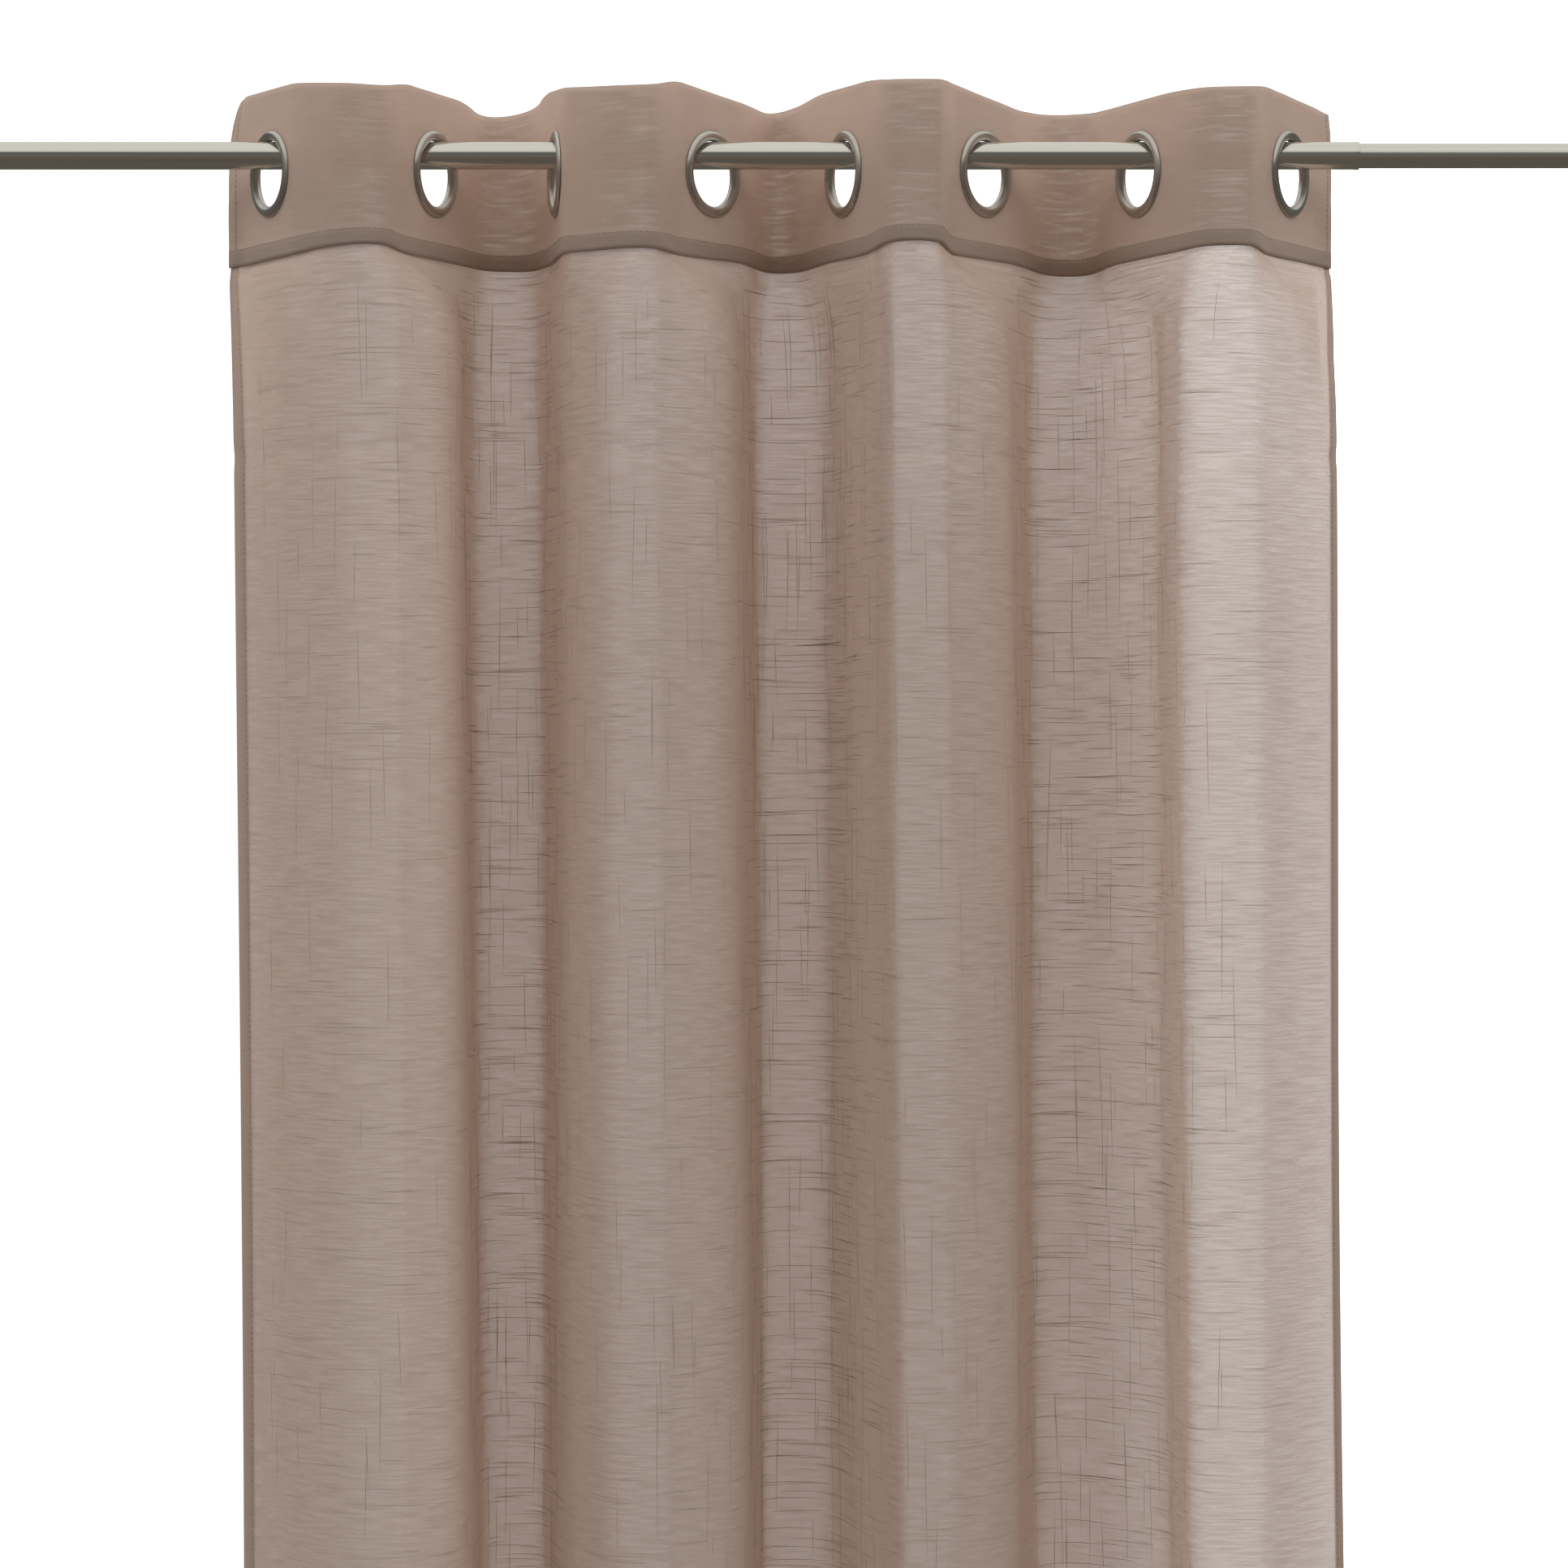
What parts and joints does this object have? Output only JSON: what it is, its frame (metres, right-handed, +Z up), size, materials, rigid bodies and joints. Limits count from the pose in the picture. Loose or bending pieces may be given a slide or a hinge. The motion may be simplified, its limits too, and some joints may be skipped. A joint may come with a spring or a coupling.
{
  "type": "sheer voile eyelet curtain on a telescopic curtain rod",
  "caption": "Long sheer voile curtain hanging in soft deep folds by metal eyelets from a slim telescopic metal rod, with a doubled heading band and turned hems.",
  "frame": {"origin": "on the rod's axis, at the middle of the curtain's width", "axes": "+X along the rod to the right as seen from the room, -Y towards the room, +Z up"},
  "size_m": [1.1286, 0.1488, 2.4077],
  "materials": {
    "voile": "semi-sheer taupe voile with slubs in both directions",
    "heading_voile": "doubled taupe voile, topstitched",
    "eyelet_nickel": "satin nickel",
    "rod_nickel": "brushed satin nickel",
    "cap_plastic": "satin grey"
  },
  "bodies": {
    "root": {"heading": "heading_voile", "panel": "voile", "eyelet_1": "eyelet_nickel", "eyelet_2": "eyelet_nickel", "eyelet_3": "eyelet_nickel", "eyelet_4": "eyelet_nickel", "eyelet_5": "eyelet_nickel", "eyelet_6": "eyelet_nickel", "eyelet_7": "eyelet_nickel", "eyelet_8": "eyelet_nickel", "rod_outer_tube": "rod_nickel", "rod_inner_tube": "rod_nickel", "rod_cap_left": "cap_plastic", "rod_cap_right": "cap_plastic"}
  },
  "joints": []
}
